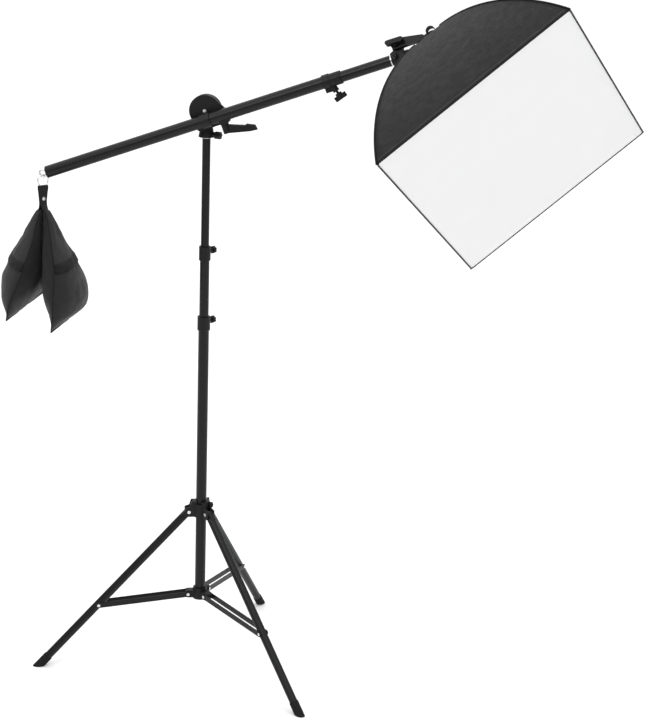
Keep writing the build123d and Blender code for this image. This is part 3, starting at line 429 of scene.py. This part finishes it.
def dress_frame():
    """Give every CAD node the material of its slot."""
    slots = {part["node"]: part["material_slot"] for part in frame["record"]["subparts"]}
    for name, node in frame["nodes"].items():
        node.data.materials.clear()
        node.data.materials.append(SLOT_MATERIALS[slots[name]])


def finish_piece(piece, body, material, replaced=()):
    """Material, body and hidden replaced nodes of a new piece."""
    if not piece.data.materials:
        piece.data.materials.append(material)
    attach(piece, body)
    if replaced:
        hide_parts(*replaced)
    return piece


# ---- softbox shell ------------------------------------------------------------------------
HALF_W = 0.250
HALF_H = 0.350
FACE_AT = 0.3326
NECK_SHARE = 0.1395
NECK_DEPTH = 0.3272
MIDDLE_SHARE = 0.6257
MIDDLE_DEPTH = 0.1908
CORNER = math.hypot(HALF_W, HALF_H)
CLOTH_THICK = 0.0012
PANEL_SAG = 0.003          # how far the tight cloth draws in between two rods
NECK_GATHER = 0.0011       # small folds at the neck, soft waves and tension lines across a panel
SOFT_WAVE = 0.0022
PULL_LINE = 0.0009


def circle_through(a, b, c):
    """Centre and radius of the circle through three points."""
    ax, ay = a
    bx, by = b
    cx, cy = c
    d = 2 * (ax * (by - cy) + bx * (cy - ay) + cx * (ay - by))
    x = ((ax * ax + ay * ay) * (by - cy) + (bx * bx + by * by) * (cy - ay)
         + (cx * cx + cy * cy) * (ay - by)) / d
    y = ((ax * ax + ay * ay) * (cx - bx) + (bx * bx + by * by) * (ax - cx)
         + (cx * cx + cy * cy) * (bx - ax)) / d
    return x, y, math.hypot(ax - x, ay - y)


RIM = (CORNER, FACE_AT)
MIDDLE = (CORNER * MIDDLE_SHARE, FACE_AT - MIDDLE_DEPTH)
NECK = (CORNER * NECK_SHARE, FACE_AT - NECK_DEPTH)
ARC_X, ARC_Z, ARC_R = circle_through(RIM, MIDDLE, NECK)
ARC_START = math.atan2(NECK[1] - ARC_Z, NECK[0] - ARC_X)
ARC_END = math.atan2(RIM[1] - ARC_Z, RIM[0] - ARC_X)


def shell_ring(t):
    """Size share and place along the lamp axis, from neck (0) to rim (1)."""
    turn = ARC_START + (ARC_END - ARC_START) * t
    return (ARC_X + ARC_R * math.cos(turn)) / CORNER, ARC_Z + ARC_R * math.sin(turn)


def shell_slope(t):
    """Outward normal of the shell's profile, as (out, along the lamp axis)."""
    turn = ARC_START + (ARC_END - ARC_START) * t
    return math.cos(turn), math.sin(turn)


SIDES = (
    # (out direction, along direction, half size out, half size along)
    ((1, 0), (0, 1), HALF_W, HALF_H),
    ((0, 1), (-1, 0), HALF_H, HALF_W),
    ((-1, 0), (0, -1), HALF_W, HALF_H),
    ((0, -1), (1, 0), HALF_H, HALF_W),
)


def shell_surface(side, s, t, inset):
    """Point on the shell: side 0 to 3, s from -1 to 1 along the side, t from neck to rim."""
    out, along, half_out, half_along = SIDES[side]
    share, z = shell_ring(t)
    slack = 1 - s * s
    gather = math.sin(s * 34 + side * 1.7) * NECK_GATHER * math.exp(-t * 9) * slack
    soft = noise.noise(Vector((s * 2.2 + side * 5.1, t * 3.0, 0.7))) * SOFT_WAVE * slack
    pull = noise.noise(Vector((s * 1.1 + side * 3.3, t * 13.0 + s * s * 3, 4.2))) * PULL_LINE
    draw = PANEL_SAG * slack * math.sin(math.pi * min(t * 1.05, 1))
    shift = -draw + (soft + gather + pull * slack) * min(1, (1 - t) * 6) - inset
    slope_out, slope_z = shell_slope(t)
    reach = half_out / CORNER * slope_out
    size = math.hypot(reach, slope_z)
    grow = shift * reach / size
    x = out[0] * (half_out * share + grow) + along[0] * s * (half_along * share - inset * abs(s))
    y = out[1] * (half_out * share + grow) + along[1] * s * (half_along * share - inset * abs(s))
    return softbox_point(x, y, z + shift * slope_z / size)


def make_shell():
    """The black shell with its silver lining, as one closed skin."""
    rows = 57
    per_side = 30
    columns = 4 * per_side
    points = []
    uvs = []
    for layer in (0, 1):
        for row in range(rows):
            t = row / (rows - 1)
            for side in range(4):
                for k in range(per_side):
                    s = -1 + 2 * k / per_side
                    points.append(shell_surface(side, s, t, CLOTH_THICK * layer))
                    share = shell_ring(t)[0]
                    half_along = SIDES[side][3]
                    uvs.append((side * 0.8 + s * half_along * share, t * 0.52))
    layer_size = rows * columns
    faces = grid_faces(rows, columns, wrap=True)
    outer_count = len(faces)
    faces += grid_faces(rows, columns, wrap=True, start=layer_size)
    inner_end = len(faces)
    for start in (0, (rows - 1) * columns):
        for column in range(columns):
            a = start + column
            b = start + (column + 1) % columns
            faces.append((a, b, b + layer_size, a + layer_size))
    shell = mesh_object("softbox_shell", points, faces, uvs)
    shell.data.materials.append(SHELL_CLOTH)
    shell.data.materials.append(SILVER)
    for index in range(outer_count, inner_end):
        shell.data.polygons[index].material_index = 1
    finish_piece(shell, "softbox", SHELL_CLOTH,
                 ("panel_top", "panel_bottom", "panel_left", "panel_right"))
    return shell


def corner_point(side, t, lift):
    """Point on the seam after a side, lifted outwards."""
    here = shell_surface(side, 1, t, 0)
    axis = softbox_point(0, 0, shell_ring(t)[1])
    slope_out, slope_z = shell_slope(t)
    outward = (here - axis).normalized() * slope_out + LAMP * slope_z
    return here + outward.normalized() * lift


PIPING_R = 0.0017
PIPING_LIFT = 0.0006
STITCH_ROW = 0.965         # a stitch row beside a seam, as a share of the half panel


def make_seams():
    """Piped seam and two rows of stitches at each corner of the shell."""
    steps = 60
    for side in range(4):
        path = [corner_point(side, i / steps, PIPING_LIFT) for i in range(steps + 1)]
        piping = tube_along(f"shell_piping_{side + 1}", path, PIPING_R, sides=8)
        finish_piece(piping, "softbox", BINDING_CLOTH)
        for step_side, s in ((side, STITCH_ROW), ((side + 1) % 4, -STITCH_ROW)):
            rows = [0.06 + 0.92 * i / steps for i in range(steps + 1)]
            line = [shell_surface(step_side, s, t, 0) for t in rows]
            normals = [corner_point(side, t, 1) - corner_point(side, t, 0) for t in rows]
            row = stitches(f"shell_stitches_{side + 1}_{step_side + 1}", line, normals)
            finish_piece(row, "softbox", THREAD)


def rounded_rectangle(half_x, half_y, radius, per_corner=8, per_side=24):
    """Points and outward directions round a rounded rectangle."""
    points = []
    for turn in range(4):
        sx = 1 if turn in (0, 3) else -1
        sy = 1 if turn in (0, 1) else -1
        cx = sx * (half_x - radius)
        cy = sy * (half_y - radius)
        for k in range(per_corner + 1):
            angle = math.pi / 2 * (turn + k / per_corner)
            points.append((cx + radius * math.cos(angle), cy + radius * math.sin(angle),
                           math.cos(angle), math.sin(angle)))
    full = []
    for i, point in enumerate(points):
        full.append(point)
        after = points[(i + 1) % len(points)]
        gap = math.hypot(after[0] - point[0], after[1] - point[1])
        if gap > 4 * radius:
            for k in range(1, per_side):
                share = k / per_side
                full.append(tuple(a + (b - a) * share for a, b in zip(point, after)))
    return full


BINDING_WIDE = 0.0029      # tape on the face side
BINDING_HIGH = 0.0008      # tape above the diffuser's edge
HEM_DEEP = 0.011           # tape on the shell's outside
HEM_LIFT = 0.0007
FACE_CORNER_R = 0.008
TAPE_WANDER = 0.0003       # how unevenly the tape is sewn on


def make_binding():
    """Tape folded over the shell's rim and sewn flat on its outside."""
    outline = rounded_rectangle(HALF_W, HALF_H, FACE_CORNER_R)
    hem_share = 1 + HEM_DEEP * math.tan(ARC_END) / CORNER
    points = []
    uvs = []
    run = 0.0
    for i, (x, y, nx, ny) in enumerate(outline):
        bx, by = outline[i - 1][:2]
        run += math.hypot(x - bx, y - by) if i else 0.0
        wander = noise.noise(Vector((x * 16, y * 16, 2.0))) * TAPE_WANDER
        section = (
            (x - nx * (BINDING_WIDE + wander), y - ny * (BINDING_WIDE + wander), -0.0008),
            (x - nx * BINDING_WIDE, y - ny * BINDING_WIDE, BINDING_HIGH * 0.7),
            (x - nx * 0.0004, y - ny * 0.0004, BINDING_HIGH),
            (x + nx * HEM_LIFT, y + ny * HEM_LIFT, 0.0),
            (x * hem_share + nx * HEM_LIFT, y * hem_share + ny * HEM_LIFT, -HEM_DEEP),
            (x * hem_share - nx * HEM_LIFT, y * hem_share - ny * HEM_LIFT, -HEM_DEEP),
        )
        for k, (px, py, z) in enumerate(section):
            points.append(softbox_point(px, py, FACE_AT + z))
            uvs.append((run, k * 0.003))
    columns = len(section)
    count = len(outline)
    faces = []
    for i in range(count):
        after = (i + 1) % count
        for k in range(columns):
            next_k = (k + 1) % columns
            here, there = i * columns, after * columns
            faces.append((here + k, here + next_k, there + next_k, there + k))
    binding = mesh_object("rim_binding", points, faces, uvs)
    finish_piece(binding, "softbox", SHELL_CLOTH, ("edge_binding",))
    return binding


DIFFUSER_EDGE = 0.0010     # inset of the cloth's edge, from the rim
DIFFUSER_ROLL = 0.030      # width of the stretch where the cloth rolls down to its edge
DIFFUSER_RISE = 0.0030
DIFFUSER_WAVE = 0.0006
DIFFUSER_TUCK = 0.0005     # small folds in the corners
DIFFUSER_THICK = 0.0006


def make_diffuser():
    """White cloth stretched over the face, full in the middle and rolled down at its edges."""
    columns = 61
    rows = 85
    half_x = HALF_W - DIFFUSER_EDGE
    half_y = HALF_H - DIFFUSER_EDGE
    points = []
    uvs = []
    for row in range(rows):
        for column in range(columns):
            u = -1 + 2 * column / (columns - 1)
            v = -1 + 2 * row / (rows - 1)
            u = math.copysign(1 - (1 - abs(u)) ** 1.35, u)
            v = math.copysign(1 - (1 - abs(v)) ** 1.35, v)
            x = u * half_x
            y = v * half_y
            edge_x = min((half_x - abs(x)) / DIFFUSER_ROLL, 1)
            edge_y = min((half_y - abs(y)) / DIFFUSER_ROLL, 1)
            rise = math.sin(edge_x * math.pi / 2) * math.sin(edge_y * math.pi / 2)
            pull = noise.noise(Vector((x * 5, y * 5, 1.3))) * DIFFUSER_WAVE
            corner = max(0, abs(u) + abs(v) - 1.5) * 2
            tuck = math.sin((abs(x) - abs(y)) * 260) * DIFFUSER_TUCK * corner
            z = FACE_AT - 0.0010 + DIFFUSER_RISE * rise + (pull + tuck) * rise
            points.append(softbox_point(x, y, z))
            uvs.append((x, y))
    diffuser = mesh_object("diffusion_cloth", points, grid_faces(rows, columns), uvs)
    if sum((f.normal.dot(LAMP) for f in diffuser.data.polygons)) < 0:
        diffuser.data.flip_normals()
    thick = diffuser.modifiers.new("thick", "SOLIDIFY")
    thick.thickness = DIFFUSER_THICK
    thick.offset = -1
    apply_modifiers(diffuser)
    finish_piece(diffuser, "softbox", WHITE_CLOTH, ("diffuser",))
    return diffuser


HOLDER_R = 0.0302          # the sleeve's inside, on the lamp holder
SLEEVE_WALL = 0.0012
SLEEVE_LIFT = 0.0022
BAND_R = 0.0335
BAND_WIRE = 0.0021
TAB_WIDE = 0.009
TAB_THICK = 0.0013


def make_neck():
    """Gathered cloth sleeve that closes the shell on the lamp holder, its band and the pull tab."""
    per_side = 24
    columns = 4 * per_side
    levels = ((0.0, NECK[1], 0.0), (0.5, NECK[1] - 0.002, 0.0010), (1.0, NECK[1] - 0.005, 0.0014),
              (1.0, NECK[1] - 0.009, 0.0014), (1.0, NECK[1] - 0.012, 0.0008))
    points = []
    uvs = []
    for inner in (0, 1):
        for level, (blend, z, fold) in enumerate(levels):
            for column in range(columns):
                side = column // per_side
                s = -1 + 2 * (column % per_side) / per_side
                out, along, half_out, half_along = SIDES[side]
                x = (out[0] * half_out + along[0] * s * half_along) * NECK_SHARE
                y = (out[1] * half_out + along[1] * s * half_along) * NECK_SHARE
                angle = math.atan2(y, x)
                ring_r = HOLDER_R + SLEEVE_LIFT + fold * math.sin(angle * 17)
                px = x * (1 - blend) + ring_r * math.cos(angle) * blend
                py = y * (1 - blend) + ring_r * math.sin(angle) * blend
                size = math.hypot(px, py)
                px -= px / size * SLEEVE_WALL * inner
                py -= py / size * SLEEVE_WALL * inner
                points.append(softbox_point(px, py, z))
                uvs.append((angle * 0.035, level * 0.006))
    layer_size = len(levels) * columns
    faces = grid_faces(len(levels), columns, wrap=True)
    faces += grid_faces(len(levels), columns, wrap=True, start=layer_size)
    for start in (0, (len(levels) - 1) * columns):
        for column in range(columns):
            a = start + column
            b = start + (column + 1) % columns
            faces.append((a, b, b + layer_size, a + layer_size))
    sleeve = mesh_object("neck_sleeve", points, faces, uvs)
    finish_piece(sleeve, "softbox", SHELL_CLOTH)
    band_z = NECK[1] - 0.009
    ring = [softbox_point(math.cos(a) * BAND_R, math.sin(a) * BAND_R, band_z)
            for a in (2 * math.pi * k / 72 for k in range(72))]
    band = tube_along("neck_band", ring, BAND_WIRE, sides=10, closed=True)
    finish_piece(band, "softbox", WEBBING)
    tab_path = []
    tab_across = []
    for k in range(25):
        turn = math.pi * (k / 24 * 1.1 - 0.05)
        tab_path.append(softbox_point(0.012 - 0.010 * math.cos(turn), 0.034 + 0.019 * math.sin(turn), -0.004))
        tab_across.append(LAMP)
    tab = ribbon("pull_tab", tab_path, tab_across, TAB_WIDE, TAB_THICK)
    finish_piece(tab, "softbox", WEBBING)


# ---- counterweight bag --------------------------------------------------------------------
BAG_TOP = 0.084
POUCH_DROP = {-1: 0.324, 1: 0.342}
FLAP_DROP = 0.207          # lower edge of a pouch's cover flap, below the eye
POUCH_SECTIONS = (
    # share of the drop, half width, turn of the side seams, middle, inner and outer belly
    (0.00, 0.010, 0.003, 0.005, 0.005, 0.006),
    (0.13, 0.038, 0.011, 0.015, 0.014, 0.014),
    (0.27, 0.068, 0.020, 0.022, 0.022, 0.024),
    (0.50, 0.112, 0.027, 0.037, 0.037, 0.043),
    (0.72, 0.125, 0.017, 0.046, 0.044, 0.053),
    (0.88, 0.127, 0.007, 0.052, 0.032, 0.040),
    (1.00, 0.127, 0.000, 0.052, 0.001, 0.001),
)
LOBE_SHIFT = {-1: 0.006, 1: 0.010}     # how far the lower seams stand to the right of that


CREASE_WIDE = 0.0035       # broad and fine creases of the filled cloth
CREASE_FINE = 0.0014


def pouch_section(share):
    """Half width, turn, middle and bellies at a share of the drop, smooth between the sections."""
    last = len(POUCH_SECTIONS) - 1
    k = 0
    while k < last - 1 and share > POUCH_SECTIONS[k + 1][0]:
        k += 1
    rows = [POUCH_SECTIONS[max(0, min(last, k + step))] for step in (-1, 0, 1, 2)]
    span = rows[2][0] - rows[1][0]
    u = (share - rows[1][0]) / span
    values = []
    for before, start, end, after in zip(*(row[1:] for row in rows)):
        rise_start = (end - before) / max(rows[2][0] - rows[0][0], 1e-6) * span
        rise_end = (after - start) / max(rows[3][0] - rows[1][0], 1e-6) * span
        values.append(start * (2 * u ** 3 - 3 * u ** 2 + 1) + rise_start * (u ** 3 - 2 * u ** 2 + u)
                      + end * (3 * u ** 2 - 2 * u ** 3) + rise_end * (u ** 3 - u ** 2))
    return values


def pouch_point(side, share, v, face, lift=0.0):
    """Point on a pouch: v from the near seam (-1) to the far one (1), face 1 outside, -1 inside."""
    half_width, turn, middle, inner, outer = pouch_section(share)
    size = math.hypot(half_width, turn)
    belly = (outer if face > 0 else inner) * (1 - v * v) ** 0.75
    crease = noise.noise(Vector((v * 3.1 + side * 7, share * 7.0, face * 2.0))) * CREASE_WIDE
    crease += noise.noise(Vector((v * 9.0, share * 16.0 + side * 3, face * 5.0))) * CREASE_FINE
    out = side * face * (max(belly + crease * (1 - v * v), 0.0002) + lift)
    x = side * middle - turn * v + out * half_width / size + LOBE_SHIFT[side] * share ** 4
    y = half_width * v + out * turn / size
    return bag_point(x, y, BAG_TOP + (POUCH_DROP[side] - BAG_TOP) * share)


def make_pouch(name, side, node):
    """One pouch: two sheets sewn together at the sides and the bottom, full of sand."""
    rows = 61
    columns = 41
    points = []
    uvs = []
    index = {}
    for face in (1, -1):
        for row in range(rows):
            share = row / (rows - 1)
            for column in range(columns):
                v = -math.cos(math.pi * column / (columns - 1))
                on_seam = column in (0, columns - 1) or row == rows - 1
                key = (row, column, 0 if on_seam else face)
                if key in index:
                    continue
                index[key] = len(points)
                points.append(pouch_point(side, share, v, 1 if on_seam else face))
                uvs.append((v * 0.12 + face * 0.3, share * 0.25))

    def at(row, column, face):
        return index.get((row, column, 0), index.get((row, column, face)))

    faces = []
    for face in (1, -1):
        for row in range(rows - 1):
            for column in range(columns - 1):
                faces.append((
                    at(row, column, face), at(row, column + 1, face),
                    at(row + 1, column + 1, face), at(row + 1, column, face),
                ))
    faces.append(tuple(at(0, column, 1) for column in range(columns))
                 + tuple(at(0, column, -1) for column in range(columns - 2, 0, -1)))
    pouch = mesh_object(name, points, faces, uvs)
    smooth = pouch.modifiers.new("smooth", "SUBSURF")
    smooth.levels = 1
    apply_modifiers(pouch)
    pouch.data.shade_smooth()
    finish_piece(pouch, "bag", BAG_CLOTH, (node,))
    return pouch


FLAP_THICK = 0.0022
FLAP_HEM = 0.018           # width of the flap's folded lower edge
HEM_LAYERS = 1.7           # the hem's thickness, in layers of the flap
FLAP_TOP = 0.02            # the flap's upper edge, as a share of the pouch
SEAM_TUBE = 0.0014


def make_flap(name, side):
    """Cover flap over a pouch's outer face, with a folded lower edge and two rows of stitches."""
    rows = 33
    columns = 33
    end = (FLAP_DROP - BAG_TOP) / (POUCH_DROP[side] - BAG_TOP)
    hem = FLAP_HEM / (POUCH_DROP[side] - BAG_TOP)
    points = []
    uvs = []
    layer_size = rows * columns
    for layer in (1, 0):
        for row in range(rows):
            share = FLAP_TOP + (end - FLAP_TOP) * row / (rows - 1)
            for column in range(columns):
                v = -0.992 * math.cos(math.pi * column / (columns - 1))
                raise_by = FLAP_THICK * (HEM_LAYERS if share > end - hem else 1.0) if layer else 0.0002
                points.append(pouch_point(side, share, v, 1, raise_by))
                uvs.append((v * 0.1, share * 0.25))
    faces = grid_faces(rows, columns) + grid_faces(rows, columns, start=layer_size)
    rim = list(range(columns))
    rim += [row * columns + columns - 1 for row in range(1, rows)]
    rim += [(rows - 1) * columns + column for column in range(columns - 2, -1, -1)]
    rim += [row * columns for row in range(rows - 2, 0, -1)]
    for k, a in enumerate(rim):
        b = rim[(k + 1) % len(rim)]
        faces.append((a, b, b + layer_size, a + layer_size))
    flap = mesh_object(name, points, faces, uvs)
    flap.data.materials.append(BAG_CLOTH)
    flap.data.materials.append(BINDING_CLOTH)
    hem_start = bag_point(0, 0, FLAP_DROP - FLAP_HEM).z
    for polygon in flap.data.polygons:
        polygon.material_index = 1 if polygon.center.z < hem_start else 0
    finish_piece(flap, "bag", BAG_CLOTH)
    for line, share in enumerate((end - hem * 0.12, end - hem * 0.92)):
        places = [-0.95 + 1.9 * k / 60 for k in range(61)]
        path = [pouch_point(side, share, v, 1, FLAP_THICK * HEM_LAYERS) for v in places]
        below = [pouch_point(side, share, v, 1, 0.0) for v in places]
        raised = [pouch_point(side, share, v, 1, 1.0) for v in places]
        normals = [high - low for high, low in zip(raised, below)]
        row_name = f"{name}_stitches_{line + 1}"
        row = stitches(row_name, path, normals, pitch=0.005, length=0.0034, width=0.0011)
        finish_piece(row, "bag", THREAD)
    return flap


def make_pouch_seam(name, side):
    """Piping along a pouch's near seam, bottom seam and far seam."""
    steps = [k / 40 for k in range(41)]
    path = [pouch_point(side, 0.02 + 0.98 * k, -1, 1) for k in steps]
    path += [pouch_point(side, 1, -1 + 2 * k, 1) for k in steps[1:-1]]
    path += [pouch_point(side, 1 - 0.98 * k, 1, 1) for k in steps]
    seam = tube_along(name, path, SEAM_TUBE, sides=8)
    finish_piece(seam, "bag", BINDING_CLOTH)


STRAP_WIDE = 0.024
STRAP_THICK = 0.0016
WIRE_DROP = 0.0309         # middle of the ring's lowest wire, below the eye
WIRE_TURN = math.radians(35.6)
RIVET_DROP = 0.060
RIVET_R = 0.0046
LOOP_R = 0.0034            # the strap's fold over the wire
LAYER_OUT = 0.0009         # a layer's middle from the strap's: at the rivet, more at the wire and below
WIRE_SPREAD = 0.0030
LOWER_SPREAD = 0.0085


def strap_direction(drop):
    """Width direction of the strap: along the ring's wire at the top, turned to the bag below."""
    end_turn = BAG_TURN + math.pi / 2
    share = smooth_step((drop - WIRE_DROP) / (BAG_TOP + 0.02 - WIRE_DROP))
    turn = WIRE_TURN + (end_turn - WIRE_TURN) * share
    return Vector((math.cos(turn), math.sin(turn), 0))


def make_strap():
    """Webbing over the ring's wire, riveted, with one layer down to each pouch."""
    path = []
    across = []
    drops = [0.104 - 0.004 * k for k in range(18)]
    for side, run in ((-1, drops), (1, drops[::-1])):
        for drop in run:
            wide = strap_direction(drop)
            away = -UP.cross(wide)
            apart = WIRE_SPREAD * (1 - smooth_step((drop - WIRE_DROP) / 0.018)) + LAYER_OUT
            apart += LOWER_SPREAD * smooth_step((drop - RIVET_DROP - 0.004) / 0.036)
            path.append(EYE - UP * drop + away * side * apart)
            across.append(wide)
        if side < 0:
            wide = strap_direction(WIRE_DROP)
            away = -UP.cross(wide)
            for k in range(1, 8):
                turn = math.pi * k / 8
                lift = UP * math.sin(turn) - away * math.cos(turn)
                path.append(EYE - UP * (WIRE_DROP + 0.001) + lift * LOOP_R)
                across.append(wide)
    strap = ribbon("bag_webbing", path, across, STRAP_WIDE, STRAP_THICK)
    finish_piece(strap, "bag", WEBBING, ("bag_strap",))
    away = -UP.cross(strap_direction(RIVET_DROP))
    shaft = [EYE - UP * RIVET_DROP + away * step for step in (-0.0031, -0.0027, 0.0027, 0.0031)]
    rivet = tube_along("strap_rivet", shaft, RIVET_R, sides=24)
    finish_piece(rivet, "bag", ZINC)


def make_bag():
    """Both pouches with their flaps and seams, and the strap."""
    for side, name in ((-1, "left"), (1, "right")):
        make_pouch(f"bag_pouch_{name}", side, f"pouch_{name}")
        make_flap(f"bag_flap_{name}", side)
        make_pouch_seam(f"bag_piping_{name}", side)
    make_strap()


# ---- camera, light and floor --------------------------------------------------------------
CAMERA_PLACE = Vector((0.3105, -5.4973, 2.4883))       # from the column's foot
CAMERA_DOWN = 17.30        # degrees below level, and turned to the left
CAMERA_TURN = 1.79


def make_camera():
    """The viewpoint: eye height, looking slightly down on the light."""
    data = bpy.data.cameras.new("camera")
    data.lens = 122.6
    data.sensor_width = 36
    data.clip_end = 60
    camera = bpy.data.objects.new("camera", data)
    bpy.context.scene.collection.objects.link(camera)
    look = Matrix.Rotation(math.radians(90 - CAMERA_DOWN), 4, "X")
    look = look @ Matrix.Rotation(math.radians(CAMERA_TURN), 4, "Z")
    camera.matrix_world = Matrix.Translation(STAND + CAMERA_PLACE) @ look
    bpy.context.scene.camera = camera


def area_light(name, place, target, size, power):
    data = bpy.data.lights.new(name, "AREA")
    data.shape = "RECTANGLE"
    data.size = size[0]
    data.size_y = size[1]
    data.energy = power
    light = bpy.data.objects.new(name, data)
    bpy.context.scene.collection.objects.link(light)
    light.location = place
    light.rotation_euler = (Vector(target) - Vector(place)).to_track_quat("-Z", "Y").to_euler()


def make_studio():
    """Pale floor, white surroundings, a broad light above and two smaller ones in front."""
    world = bpy.data.worlds.new("studio")
    bpy.context.scene.world = world
    world.use_nodes = True
    background = world.node_tree.nodes["Background"]
    background.inputs["Color"].default_value = (1, 1, 1, 1)
    background.inputs["Strength"].default_value = 0.30
    half = 14.0
    floor = mesh_object("floor", [(-half, -half, -0.0005), (half, -half, -0.0005), (half, half, -0.0005),
                                  (-half, half, -0.0005)], [(0, 1, 2, 3)], smooth=False)
    made = Shader("floor_paper", (0.93, 0.93, 0.93), 0.9, specular=0.1)
    made.mottle(made.noise(3, 2), 0.01)
    floor.data.materials.append(made.material)
    area_light("overhead", (0, 4, 6), (0, 4, 0), (16, 22), 1400)
    area_light("key", (-2.2, -3.6, 4.2), (0, 0, 0.9), (1.6, 1.6), 75)
    area_light("fill", (3.2, -3.0, 2.2), (0.2, 0, 1.0), (1.5, 2.5), 35)
    bpy.context.scene.view_settings.view_transform = "Standard"


dress_frame()
make_camera()
make_studio()
make_shell()
make_seams()
make_binding()
make_diffuser()
make_neck()
make_bag()
